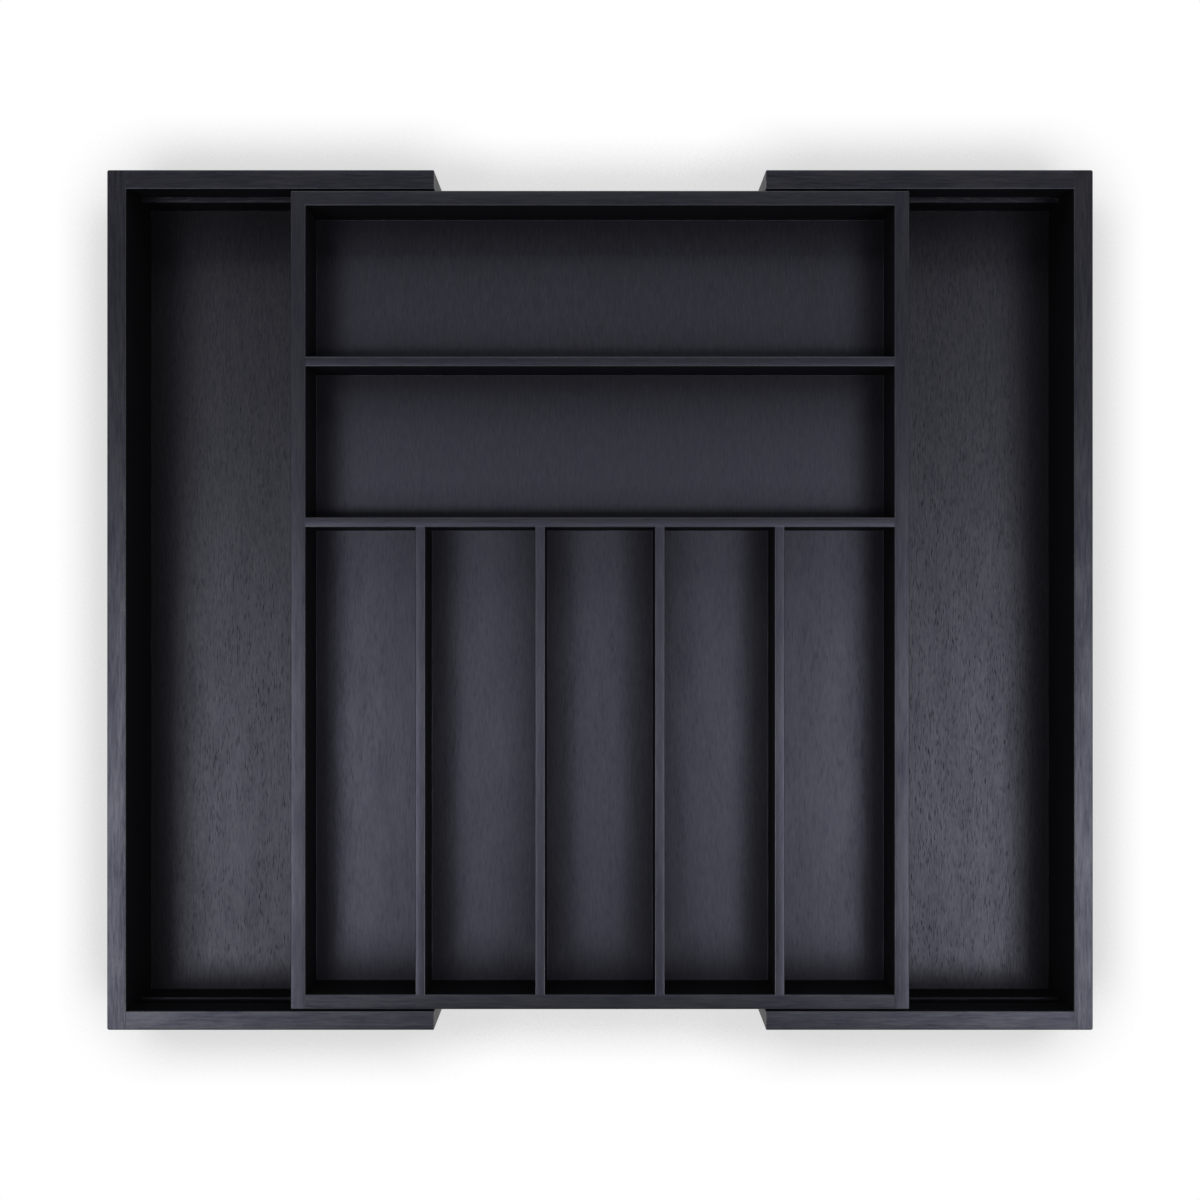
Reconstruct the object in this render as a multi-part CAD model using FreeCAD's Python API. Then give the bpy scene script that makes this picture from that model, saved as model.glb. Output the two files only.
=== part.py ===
"""Extending cutlery tray in black stained wood: a divided middle tray between two sliding side wings.

Millimetres, +Z up, +Y to the back. The origin is on the table, under the middle of the tray.
The wings stand on the table. The tray hangs between their rails on short runners, and each wing
slides along X on its two runners. The model shows the wings drawn out to their stops.
"""

import FreeCAD, Part
import os

Vector = FreeCAD.Vector

# Heights
RIM_HEIGHT = 63.5           # rim of the tray and of the wings above the table
TRAY_INSIDE_DEPTH = 38.0    # rim down to the floor of the tray's bays
WING_PANEL_LIFT = 3.0       # underside of the wing floors above the table
TRAY_LIFT = 0.6             # lower edge of the tray walls above the wing floors

# Middle tray
TRAY_WIDTH = 313.8
TRAY_DEPTH = 415.2
TRAY_WALL = 7.5
TRAY_PANEL = 4.0
DIVIDER = 5.0
REAR_BAY = 76.6             # front to back size of each of the two bays across the rear
LONG_BAYS = 5               # bays side by side in front of them

# Side wings
WING_WALL = 9.6
WING_PANEL = 4.0
SIDE_GAP = 0.9              # tray wall to wing rail
EXTENSION = 83.5            # tray side to wing end wall, drawn out
CLOSED_RAIL_GAP = 1.4       # between the rail ends of the two wings, pushed home
PANEL_SETBACK = 1.0         # edge of the wing floor behind the rail ends

# Runners on the tray and the grooves that they run in
RUNNER_HEIGHT = 13.4
RUNNER_UNDERSIDE = 29.0     # above the table
RUNNER_REACH = 3.6          # into the rail
RUNNER_CLEARANCE = 0.3      # above, below and at the stop
RUNNER_FACE_CLEARANCE = 0.4  # runner face to groove bottom
RAIL_STOP = 12.4            # wood left at the rail's end, which the runner stops against

# Joinery
EASE = 0.5                  # sanded round on the rims and the upright edges
CORNER_WEAR = 0.5           # the wings' outer corners are rounder than the rims by this
PANEL_GROOVE = 3.5          # depth of the floor grooves in the walls
PANEL_CLEARANCE = 0.2       # panel edge to groove bottom
PANEL_TOP_CLEARANCE = 0.1   # above the panel in its grooves
HOUSING_DEPTH = 2.0         # depth of the housings that take the divider ends
HOUSING_CLEARANCE = 0.1     # around a divider end in its housing
HOUSING_STOP = 8.0          # top of the housings below the rim

# Brads, driven below the surface
BRAD_DIAMETER = 1.2
BRAD_FIT = 0.03             # radial
CORNER_BRAD_LENGTH = 25.0
CORNER_BRAD_SINK = 1.0
CORNER_BRAD_DROP = 10.0     # upper brads below the rim
RUNNER_BRAD_LENGTH = 8.0
RUNNER_BRAD_SINK = 0.5
RUNNER_BRAD_INSET = 10.0    # from the ends of the runner

# Heights that follow
WING_FLOOR = WING_PANEL_LIFT + WING_PANEL
TRAY_UNDERSIDE = WING_FLOOR + TRAY_LIFT
TRAY_FLOOR = RIM_HEIGHT - TRAY_INSIDE_DEPTH
TRAY_PANEL_UNDERSIDE = TRAY_FLOOR - TRAY_PANEL
HOUSING_TOP = RIM_HEIGHT - HOUSING_STOP
RUNNER_MIDDLE = RUNNER_UNDERSIDE + RUNNER_HEIGHT / 2
GROOVE_UNDERSIDE = RUNNER_UNDERSIDE - RUNNER_CLEARANCE
UPPER_BRAD = RIM_HEIGHT - CORNER_BRAD_DROP
TRAY_BRAD_HEIGHTS = ((TRAY_UNDERSIDE + TRAY_PANEL_UNDERSIDE) / 2, UPPER_BRAD)
WING_BRAD_HEIGHTS = ((WING_FLOOR + GROOVE_UNDERSIDE) / 2, UPPER_BRAD)

# Tray planes that follow, measured from the middle
TRAY_X = TRAY_WIDTH / 2
TRAY_Y = TRAY_DEPTH / 2
INSIDE_X = TRAY_X - TRAY_WALL
INSIDE_Y = TRAY_Y - TRAY_WALL
REAR_DIVIDER_Y = (INSIDE_Y - REAR_BAY - DIVIDER, INSIDE_Y - REAR_BAY)
FRONT_DIVIDER_Y = (REAR_DIVIDER_Y[0] - REAR_BAY - DIVIDER, REAR_DIVIDER_Y[0] - REAR_BAY)
LONG_BAY = (2 * INSIDE_X - (LONG_BAYS - 1) * DIVIDER) / LONG_BAYS

# Wing planes that follow, for the left wing
RAIL_INNER_Y = TRAY_Y + SIDE_GAP
RAIL_OUTER_Y = RAIL_INNER_Y + WING_WALL
END_INNER_X = -TRAY_X - EXTENSION
END_OUTER_X = END_INNER_X - WING_WALL
RAIL_END_X = END_INNER_X + TRAY_X - CLOSED_RAIL_GAP / 2

# Runner sizes that follow
RUNNER_THICKNESS = SIDE_GAP + RUNNER_REACH
RUNNER_LENGTH = RAIL_END_X - RAIL_STOP - RUNNER_CLEARANCE + TRAY_X
HOLE_RADIUS = BRAD_DIAMETER / 2 + BRAD_FIT
BRAD_RADIUS = BRAD_DIAMETER / 2

# The four places where a runner sits: left or right end, front or back wall
RUNNER_PLACES = [(side, depth) for side in (-1, 1) for depth in (-1, 1)]


def block(x, y, z):
    """A box between two values on each axis, in any order."""
    low = Vector(min(x), min(y), min(z))
    return Part.makeBox(max(x) - low.x, max(y) - low.y, max(z) - low.z, low)


def bar_along_x(radius, x, y, z):
    """A round bar between two X values."""
    return Part.makeCylinder(radius, max(x) - min(x), Vector(min(x), y, z), Vector(1, 0, 0))


def bar_along_y(radius, x, y, z):
    """A round bar between two Y values."""
    return Part.makeCylinder(radius, max(y) - min(y), Vector(x, min(y), z), Vector(0, 1, 0))


def mirrored(shape):
    """The same shape on the other side of the tray's middle plane."""
    return shape.mirror(Vector(0, 0, 0), Vector(1, 0, 0))


def grown(span, by):
    """A span made longer at both ends."""
    return (min(span) - by, max(span) + by)


def without(shape, cutters):
    """The shape with all the cutters taken away."""
    return shape.cut(Part.Compound(cutters))


def stands_at(edge, corners):
    """Whether an edge is upright at one of the given (x, y) corners."""
    foot = edge.Vertexes[0].Point
    head = edge.Vertexes[-1].Point
    upright = abs(foot.x - head.x) < 1e-6 and abs(foot.y - head.y) < 1e-6
    return upright and any(abs(foot.x - x) < 1e-6 and abs(foot.y - y) < 1e-6 for x, y in corners)


def uprights(frame, corners):
    """The frame's upright edges at the given (x, y) corners."""
    return [edge for edge in frame.Edges if stands_at(edge, corners)]


def eased(frame, corners):
    """Rounds the frame's rim, inside and outside, and its upright edges at the given corners."""
    rim = [edge for edge in frame.Edges if all(abs(v.Z - RIM_HEIGHT) < 1e-6 for v in edge.Vertexes)]
    return frame.makeFillet(EASE, rim + uprights(frame, corners))


def long_divider_spans():
    """The X spans of the dividers between the long bays, from left to right."""
    pitch = LONG_BAY + DIVIDER
    starts = [-INSIDE_X + LONG_BAY + pitch * i for i in range(LONG_BAYS - 1)]
    return [(start, start + DIVIDER) for start in starts]


def tray_frame():
    """The tray's walls and dividers in one piece, with the rim sanded as it is after gluing."""
    height = (TRAY_UNDERSIDE, RIM_HEIGHT)
    inside = (-INSIDE_X, INSIDE_X)
    bays = [
        block(inside, (REAR_DIVIDER_Y[1], INSIDE_Y), height),
        block(inside, (FRONT_DIVIDER_Y[1], REAR_DIVIDER_Y[0]), height),
    ]
    lefts = [-INSIDE_X] + [span[1] for span in long_divider_spans()]
    bays += [block((left, left + LONG_BAY), (-INSIDE_Y, FRONT_DIVIDER_Y[0]), height) for left in lefts]
    outline = block((-TRAY_X, TRAY_X), (-TRAY_Y, TRAY_Y), height)
    corners = [(x, y) for x in (-TRAY_X, TRAY_X) for y in (-TRAY_Y, TRAY_Y)]
    return eased(without(outline, bays), corners)


def tray_panel(reach, top):
    """The tray's floor, reaching the given way into the walls, up to the given height."""
    inside_x = grown((-INSIDE_X, INSIDE_X), reach)
    inside_y = grown((-INSIDE_Y, INSIDE_Y), reach)
    return block(inside_x, inside_y, (TRAY_PANEL_UNDERSIDE, top))


def divider_ends(room):
    """The ends of each divider that stand in housings, with the given room around them."""
    height = (TRAY_FLOOR, HOUSING_TOP + room)
    reach = HOUSING_DEPTH - HOUSING_CLEARANCE + room
    ends = {}
    for name, span in (("rear_cross_divider", REAR_DIVIDER_Y), ("front_cross_divider", FRONT_DIVIDER_Y)):
        left = block((-INSIDE_X - reach, -INSIDE_X), grown(span, room), height)
        ends[name] = [left, mirrored(left)]
    for number, span in enumerate(long_divider_spans(), 1):
        front = block(grown(span, room), (-INSIDE_Y - reach, -INSIDE_Y), height)
        back = block(grown(span, room), (FRONT_DIVIDER_Y[0], FRONT_DIVIDER_Y[0] + reach), height)
        ends[f"long_divider_{number}"] = [front, back]
    return ends


def tray_corner_brads(radius):
    """Brads through the side walls into the ends of the front and back walls."""
    head = TRAY_X - CORNER_BRAD_SINK
    across = TRAY_Y - TRAY_WALL / 2
    right = [
        bar_along_x(radius, (head - CORNER_BRAD_LENGTH, head), depth * across, height)
        for depth in (-1, 1)
        for height in TRAY_BRAD_HEIGHTS
    ]
    return right + [mirrored(brad) for brad in right]


def runner_brads(radius, side, depth):
    """Two brads through a runner into the tray wall behind it."""
    head = TRAY_Y + RUNNER_THICKNESS - RUNNER_BRAD_SINK
    tip = head - RUNNER_BRAD_LENGTH
    places = (TRAY_X - RUNNER_BRAD_INSET, TRAY_X - RUNNER_LENGTH + RUNNER_BRAD_INSET)
    return [bar_along_y(radius, side * x, (depth * head, depth * tip), RUNNER_MIDDLE) for x in places]


def runner(side, depth):
    """A round-ended strip on the tray's front or back wall, at its left or right end."""
    radius = RUNNER_HEIGHT / 2
    centres = (side * (TRAY_X - radius), side * (TRAY_X - RUNNER_LENGTH + radius))
    across = (depth * TRAY_Y, depth * (TRAY_Y + RUNNER_THICKNESS))
    strip = block(centres, across, (RUNNER_UNDERSIDE, RUNNER_UNDERSIDE + RUNNER_HEIGHT))
    ends = [bar_along_y(radius, x, across, RUNNER_MIDDLE) for x in centres]
    return without(strip.multiFuse(ends).removeSplitter(), runner_brads(HOLE_RADIUS, side, depth))


def tray_walls(frame):
    """The four walls of the tray, with the grooves, housings and holes that they hold."""
    height = (TRAY_UNDERSIDE, RIM_HEIGHT)
    inside = (-INSIDE_X, INSIDE_X)
    regions = {
        "tray_left_wall": block((-TRAY_X, -INSIDE_X), (-TRAY_Y, TRAY_Y), height),
        "tray_right_wall": block((INSIDE_X, TRAY_X), (-TRAY_Y, TRAY_Y), height),
        "tray_back_wall": block(inside, (INSIDE_Y, TRAY_Y), height),
        "tray_front_wall": block(inside, (-TRAY_Y, -INSIDE_Y), height),
    }
    cutters = [tray_panel(PANEL_GROOVE, TRAY_FLOOR + PANEL_TOP_CLEARANCE)]
    cutters += [end for ends in divider_ends(HOUSING_CLEARANCE).values() for end in ends]
    cutters += tray_corner_brads(HOLE_RADIUS)
    cutters += [hole for place in RUNNER_PLACES for hole in runner_brads(HOLE_RADIUS, *place)]
    return {name: without(frame.common(region), cutters) for name, region in regions.items()}


def tray_dividers(frame):
    """The cross dividers and the long dividers, with their ends; the front one houses the long ones."""
    height = (TRAY_FLOOR, RIM_HEIGHT)
    inside = (-INSIDE_X, INSIDE_X)
    regions = {
        "rear_cross_divider": block(inside, REAR_DIVIDER_Y, height),
        "front_cross_divider": block(inside, FRONT_DIVIDER_Y, height),
    }
    for number, span in enumerate(long_divider_spans(), 1):
        regions[f"long_divider_{number}"] = block(span, (-INSIDE_Y, FRONT_DIVIDER_Y[0]), height)
    ends = divider_ends(0)
    dividers = {
        name: frame.common(region).multiFuse(ends[name]).removeSplitter() for name, region in regions.items()
    }
    rooms = divider_ends(HOUSING_CLEARANCE)
    housings = [end for name, group in rooms.items() if name.startswith("long_divider") for end in group]
    dividers["front_cross_divider"] = without(dividers["front_cross_divider"], housings)
    return dividers


def tray_pieces():
    """The middle tray: walls, floor, dividers, runners and brads."""
    frame = tray_frame()
    pieces = tray_walls(frame)
    pieces["tray_floor"] = tray_panel(PANEL_GROOVE - PANEL_CLEARANCE, TRAY_FLOOR)
    pieces.update(tray_dividers(frame))
    for side, depth in RUNNER_PLACES:
        name = f"{'back' if depth > 0 else 'front'}_{'right' if side > 0 else 'left'}_runner"
        pieces[name] = runner(side, depth)
    pieces["tray_corner_brads"] = Part.Compound(tray_corner_brads(BRAD_RADIUS))
    brads = [brad for place in RUNNER_PLACES for brad in runner_brads(BRAD_RADIUS, *place)]
    pieces["runner_brads"] = Part.Compound(brads)
    return pieces


def wing_panel(reach, setback, top):
    """The left wing's floor, reaching the given way into its walls, short of the rail ends by the setback."""
    run = (END_INNER_X - reach, RAIL_END_X - setback)
    return block(run, grown((-RAIL_INNER_Y, RAIL_INNER_Y), reach), (WING_PANEL_LIFT, top))


def runner_groove(depth):
    """The groove in a left rail, from the end wall to the round stop that the runner meets."""
    radius = RUNNER_HEIGHT / 2 + RUNNER_CLEARANCE
    stop = RAIL_END_X - RAIL_STOP - radius
    across = (depth * RAIL_INNER_Y, depth * (RAIL_INNER_Y + RUNNER_REACH + RUNNER_FACE_CLEARANCE))
    run = block((END_INNER_X, stop), across, (GROOVE_UNDERSIDE, GROOVE_UNDERSIDE + 2 * radius))
    return run.fuse(bar_along_y(radius, stop, across, RUNNER_MIDDLE))


def wing_corner_brads(radius):
    """Brads through the left wing's end wall into the ends of its rails."""
    head = END_OUTER_X + CORNER_BRAD_SINK
    across = RAIL_OUTER_Y - WING_WALL / 2
    return [
        bar_along_x(radius, (head, head + CORNER_BRAD_LENGTH), depth * across, height)
        for depth in (-1, 1)
        for height in WING_BRAD_HEIGHTS
    ]


def wing_pieces():
    """The left wing: an end wall, two grooved rails, a floor and the corner brads."""
    height = (0, RIM_HEIGHT)
    outline = block((END_OUTER_X, RAIL_END_X), (-RAIL_OUTER_Y, RAIL_OUTER_Y), height)
    inside = block((END_INNER_X, RAIL_END_X), (-RAIL_INNER_Y, RAIL_INNER_Y), height)
    outer = [(END_OUTER_X, side * RAIL_OUTER_Y) for side in (-1, 1)]
    rail_ends = [(RAIL_END_X, side * y) for side in (-1, 1) for y in (RAIL_INNER_Y, RAIL_OUTER_Y)]
    frame = without(outline, [inside])
    frame = frame.makeFillet(EASE + CORNER_WEAR, uprights(frame, outer))
    frame = eased(frame, rail_ends)

    cutters = [wing_panel(PANEL_GROOVE, 0, WING_FLOOR + PANEL_TOP_CLEARANCE)]
    cutters += [runner_groove(depth) for depth in (-1, 1)]
    cutters += wing_corner_brads(HOLE_RADIUS)
    rail_x = (END_INNER_X, RAIL_END_X)
    regions = {
        "end_wall": block((END_OUTER_X, END_INNER_X), (-RAIL_OUTER_Y, RAIL_OUTER_Y), height),
        "front_rail": block(rail_x, (-RAIL_OUTER_Y, -RAIL_INNER_Y), height),
        "back_rail": block(rail_x, (RAIL_INNER_Y, RAIL_OUTER_Y), height),
    }
    pieces = {name: without(frame.common(region), cutters) for name, region in regions.items()}
    pieces["floor"] = wing_panel(PANEL_GROOVE - PANEL_CLEARANCE, PANEL_SETBACK, WING_FLOOR)
    pieces["corner_brads"] = Part.Compound(wing_corner_brads(BRAD_RADIUS))
    return pieces


def build():
    """Every piece of the tray by its name."""
    pieces = tray_pieces()
    for name, shape in wing_pieces().items():
        pieces[f"left_wing_{name}"] = shape
        pieces[f"right_wing_{name}"] = mirrored(shape)
    return pieces


os.makedirs("parts", exist_ok=True)
for piece_name, piece in build().items():
    piece.exportStep(os.path.join("parts", f"{piece_name}.step"))
    print(f"{piece_name}: {len(piece.Solids)} solid(s), {piece.Volume / 1000:.2f} cm3, valid {piece.isValid()}")
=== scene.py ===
"""Dresses the extending cutlery tray: black stained boards, veneered floors, and lacquer in the corners.

Metres, +Z up, +Y to the back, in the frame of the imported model. The camera looks straight down.
"""

from __future__ import annotations

import logging
import math
from dataclasses import dataclass
from enum import Enum
from functools import reduce
from typing import Any, Union

import bmesh
import bpy
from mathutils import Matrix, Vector, noise

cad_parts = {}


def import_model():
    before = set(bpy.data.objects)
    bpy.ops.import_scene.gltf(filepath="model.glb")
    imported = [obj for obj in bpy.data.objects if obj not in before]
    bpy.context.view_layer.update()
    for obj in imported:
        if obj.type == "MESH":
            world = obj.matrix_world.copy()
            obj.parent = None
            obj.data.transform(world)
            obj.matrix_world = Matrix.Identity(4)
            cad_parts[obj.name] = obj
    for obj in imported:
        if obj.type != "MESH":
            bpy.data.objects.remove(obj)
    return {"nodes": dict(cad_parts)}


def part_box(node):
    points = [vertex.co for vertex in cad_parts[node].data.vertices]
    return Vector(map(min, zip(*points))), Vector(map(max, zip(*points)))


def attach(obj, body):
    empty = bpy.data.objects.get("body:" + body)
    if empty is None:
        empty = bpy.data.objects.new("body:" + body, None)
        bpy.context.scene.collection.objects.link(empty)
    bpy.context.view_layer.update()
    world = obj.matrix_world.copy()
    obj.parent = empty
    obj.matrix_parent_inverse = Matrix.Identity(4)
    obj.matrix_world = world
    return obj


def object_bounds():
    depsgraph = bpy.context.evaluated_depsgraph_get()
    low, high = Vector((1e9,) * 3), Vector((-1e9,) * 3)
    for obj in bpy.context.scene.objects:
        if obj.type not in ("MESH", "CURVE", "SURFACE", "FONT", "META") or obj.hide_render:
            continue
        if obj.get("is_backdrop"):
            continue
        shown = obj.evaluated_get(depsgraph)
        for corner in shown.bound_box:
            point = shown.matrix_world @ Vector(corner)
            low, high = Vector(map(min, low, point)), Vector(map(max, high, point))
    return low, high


LOG = logging.getLogger("cutlery_tray")

Colour = tuple[float, float, float]
Place = tuple[float, float, float]
Cells = tuple[float, float]
Span = tuple[float, float]
Number = Union[float, "Value"]

WHITE: Colour = (1.0, 1.0, 1.0)
BOARD_SHEEN: Colour = (0.7, 0.715, 1.0)
TRAY_SHEEN: Colour = (0.69, 0.7, 1.0)
ORIGIN: Place = (0.0, 0.0, 0.0)
OPAQUE = 1.0
NOISE_MIDDLE = 0.5
QUARTER_TURN = math.radians(90)

# A Mix node has sockets of the same names for numbers and for colours, so the colours' go by number.
MIX_FACTOR, MIX_FIRST, MIX_SECOND, MIX_RESULT = 0, 6, 7, 2


class Grain(Enum):
    """The axis that a board's fibres follow."""

    ALONG_X = (1, 0, 0)
    ALONG_Y = (0, 1, 0)


class Layer(Enum):
    """The patterns in the wood, from the finest fibres to the pores."""

    FIBRES = 1
    CLOUDS = 2
    PATCHES = 3
    PORES = 4


class MattFaces(Enum):
    """Which upright faces of a piece have the stain without lacquer, a painted shade that darkens them."""

    NONE = "none"
    INWARD = "inward"
    ALL = "all"


class Side(Enum):
    """Which end of the tray a wing slides out of."""

    LEFT = -1
    RIGHT = 1


class Wall(Enum):
    """A bay's walls, by the way from the bay to each."""

    LEFT = (-1, 0, 0)
    RIGHT = (1, 0, 0)
    FRONT = (0, -1, 0)
    BACK = (0, 1, 0)


class Value:
    """A shader socket that Python's operators combine through Math nodes."""

    def __init__(self, shader: "Shader", socket: bpy.types.NodeSocket) -> None:
        """Wraps a socket of the given shader."""
        self.shader = shader
        self.socket = socket

    def __add__(self, other: Number) -> "Value":
        """Adds a value or a number."""
        return self.shader.math("ADD", self, other)

    __radd__ = __add__

    def __mul__(self, other: Number) -> "Value":
        """Multiplies by a value or a number."""
        return self.shader.math("MULTIPLY", self, other)

    __rmul__ = __mul__

    def __sub__(self, other: Number) -> "Value":
        """Takes a value or a number away."""
        return self.shader.math("SUBTRACT", self, other)

    def __rsub__(self, other: Number) -> "Value":
        """Takes this value away from a number."""
        return self.shader.math("SUBTRACT", other, self)

    def larger(self, other: Number) -> "Value":
        """The larger of the two."""
        return self.shader.math("MAXIMUM", self, other)

    def smaller(self, other: Number) -> "Value":
        """The smaller of the two."""
        return self.shader.math("MINIMUM", self, other)

    def rising(self, low: float, high: float) -> "Value":
        """A smooth step from 0 at low to 1 at high, which falls where high is below low."""
        return self.spread(low, high, "SMOOTHSTEP")

    def ramp(self, low: float, high: float) -> "Value":
        """A straight ramp from 0 at low to 1 at high, level beyond them."""
        return self.spread(low, high, "LINEAR")

    def spread(self, low: float, high: float, form: str) -> "Value":
        """Maps the stretch between two numbers to 0 to 1.

        Args:
            low: What becomes 0.
            high: What becomes 1; below low for a falling map.
            form: The kind of map, in the node's own words.

        Returns:
            The mapped value, from 0 to 1.
        """
        start, end, first, last = (low, high, 0.0, 1.0) if low < high else (high, low, 1.0, 0.0)
        inputs = {"Value": self, "From Min": start, "From Max": end, "To Min": first, "To Max": last}
        made = self.shader.node("ShaderNodeMapRange", {"interpolation_type": form}, inputs)
        return self.shader.out(made, "Result")


class Shader:
    """A material's node tree."""

    def __init__(self, name: str) -> None:
        """Starts an empty material.

        Args:
            name: The material's name.
        """
        self.material = bpy.data.materials.new(name)
        self.material.use_nodes = True
        self.tree = self.material.node_tree
        self.tree.nodes.clear()
        self.target = self.node("ShaderNodeOutputMaterial", {}, {})

    def node(self, kind: str, settings: dict[str, Any], inputs: dict[str | int, Any]) -> bpy.types.Node:
        """Adds one node.

        Args:
            kind: The node's type.
            settings: Its own properties, set before its sockets.
            inputs: Values or links for its sockets, by name or number.

        Returns:
            The new node.
        """
        made = self.tree.nodes.new(kind)
        for key, value in settings.items():
            setattr(made, key, value)
        for key, value in inputs.items():
            if isinstance(value, Value):
                self.tree.links.new(value.socket, made.inputs[key])
            else:
                made.inputs[key].default_value = value
        return made

    def out(self, node: bpy.types.Node, name: str | int) -> Value:
        """A node's output as a value."""
        return Value(self, node.outputs[name])

    def math(self, operation: str, first: Number, second: Number) -> Value:
        """A Math node on two values or numbers."""
        made = self.node("ShaderNodeMath", {"operation": operation}, {0: first, 1: second})
        return self.out(made, 0)

    def part(self, vector: Value, axis: str) -> Value:
        """One number out of a vector or a colour."""
        return self.out(self.node("ShaderNodeSeparateXYZ", {}, {0: vector}), axis)

    def dot(self, first: Value, second: Value | Place) -> Value:
        """The dot product of two vectors."""
        made = self.node("ShaderNodeVectorMath", {"operation": "DOT_PRODUCT"}, {0: first, 1: second})
        return self.out(made, "Value")

    def place(self) -> Value:
        """The surface's own coordinates, in metres."""
        return self.out(self.node("ShaderNodeTexCoord", {}, {}), "Object")

    def normal(self) -> Value:
        """The way that a face looks."""
        return self.out(self.node("ShaderNodeNewGeometry", {}, {}), "True Normal")

    def stretched(self, place: Value, scale: Place, shift: Place) -> Value:
        """The coordinates scaled along each axis and shifted.

        Args:
            place: The coordinates to change.
            scale: Cells of the pattern in a metre, along each axis.
            shift: Where the pattern starts, in cells.

        Returns:
            The new coordinates.
        """
        made = self.node("ShaderNodeMapping", {}, {"Vector": place, "Scale": scale, "Location": shift})
        return self.out(made, "Vector")

    def noise(self, place: Value, detail: float = 2.0, roughness: float = 0.5) -> Value:
        """Smooth noise from 0 to 1 with cells of one unit.

        Args:
            place: Coordinates in cells.
            detail: How many finer layers there are.
            roughness: How strong the finer layers are.

        Returns:
            The noise.
        """
        inputs = {"Vector": place, "Scale": 1.0, "Detail": detail, "Roughness": roughness}
        return self.out(self.node("ShaderNodeTexNoise", {}, inputs), 0)

    def blend(self, factor: Number, first: Colour | Value, second: Colour | Value) -> Value:
        """A colour between two.

        Args:
            factor: 0 for the first colour, 1 for the second.
            first: A colour or a link.
            second: A colour or a link.

        Returns:
            The mixed colour.
        """
        ends = [(*end, OPAQUE) if isinstance(end, tuple) else end for end in (first, second)]
        inputs = {MIX_FACTOR: factor, MIX_FIRST: ends[0], MIX_SECOND: ends[1]}
        return self.out(self.node("ShaderNodeMix", {"data_type": "RGBA"}, inputs), MIX_RESULT)

    def bump(self, height: Value, depth: float) -> Value:
        """A normal from a height map.

        Args:
            height: Heights from 0 to 1.
            depth: What 1 stands for, in metres.

        Returns:
            The normal.
        """
        made = self.node("ShaderNodeBump", {}, {"Height": height, "Distance": depth, "Strength": 1.0})
        return self.out(made, "Normal")

    def mixed(self, share: Value, first: bpy.types.Node, second: bpy.types.Node) -> bpy.types.Node:
        """Two surface shaders in one.

        Args:
            share: How much of the second shows, from 0 to 1.
            first: A shader node.
            second: A shader node.

        Returns:
            The mixed shader node.
        """
        inputs = {0: share, 1: self.out(first, 0), 2: self.out(second, 0)}
        return self.node("ShaderNodeMixShader", {}, inputs)

    def finish(self, surface: bpy.types.Node) -> bpy.types.Material:
        """Ends the tree in a surface shader.

        Args:
            surface: The shader node to show.

        Returns:
            The material.
        """
        self.tree.links.new(surface.outputs[0], self.target.inputs["Surface"])
        return self.material


@dataclass(frozen=True)
class Box:
    """A CAD node's box at rest."""

    left: float
    front: float
    bottom: float
    right: float
    back: float
    top: float

    @classmethod
    def of(cls, name: str) -> "Box":
        """The box of the node of that name."""
        low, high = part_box(name)
        return cls(*low, *high)

    def edges(self, grain: Grain) -> Span:
        """The two edges of a board, across its fibres."""
        return (self.front, self.back) if grain is Grain.ALONG_X else (self.left, self.right)


@dataclass(frozen=True)
class Margin:
    """A strip of painted shade on the floor at the foot of a wall: how far it reaches, and its share of the
    stain alone.
    """

    reach: float
    share: float


@dataclass(frozen=True)
class Bay:
    """The floor of one bay, seen from above, its walls, and the strips of painted shade along some of them.
    """

    left: float
    right: float
    front: float
    back: float
    floor: float
    margins: dict[Wall, Margin]
    walls: tuple[Wall, ...] = tuple(Wall)
    slack: float = 0.00001

    def gaps(self, x: Number, y: Number) -> dict[Wall, Number]:
        """How far a point lies from each side of the bay.

        Args:
            x: The point's place across.
            y: The point's place from front to back.

        Returns:
            The distances in metres, below zero outside the bay.
        """
        return {Wall.LEFT: x - self.left, Wall.RIGHT: self.right - x,
                Wall.FRONT: y - self.front, Wall.BACK: self.back - y}

    def painted_foot_shade(self, x: Value, y: Value) -> Value:
        """Painted shade on the floor along the walls that have a margin.

        Args:
            x: The point's place across.
            y: The point's place from front to back.

        Returns:
            The share of the stain alone that the painted shade shows, 0 outside the bay.
        """
        gaps = self.gaps(x, y)
        inside = reduce(Value.smaller, gaps.values()).rising(-self.slack, self.slack)
        margins = self.margins.items()
        painted_shades = [gaps[wall].rising(margin.reach, 0.0) * margin.share for wall, margin in margins]
        return inside * reduce(Value.larger, painted_shades)

    def inwards(self, point: Vector) -> Vector:
        """The way from a point on the bay's edge to its inside.

        Args:
            point: A point on the edge.

        Returns:
            A step of one away from each wall that the point lies on.
        """
        gaps = self.gaps(point.x, point.y)
        touched = [Vector(wall.value) for wall in self.walls if abs(gaps[wall]) < self.slack]
        return -sum(touched, Vector())


@dataclass(frozen=True)
class Coat:
    """How a coat on the wood shines: tint, strength and roughness, and how thick the clear layer lies."""

    sheen: Colour
    shine: float
    roughness: float
    thickness: float = 0.25

    def shade(self, shader: Shader, varied: dict[str, Any]) -> bpy.types.Node:
        """Adds the coat's shader node.

        Args:
            shader: The tree to add to.
            varied: The sockets that the wood below it changes.

        Returns:
            The shader node.
        """
        steady = {"Specular IOR Level": self.shine, "Specular Tint": (*self.sheen, OPAQUE)}
        return shader.node("ShaderNodeBsdfPrincipled", {}, {**steady, **varied})


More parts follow.
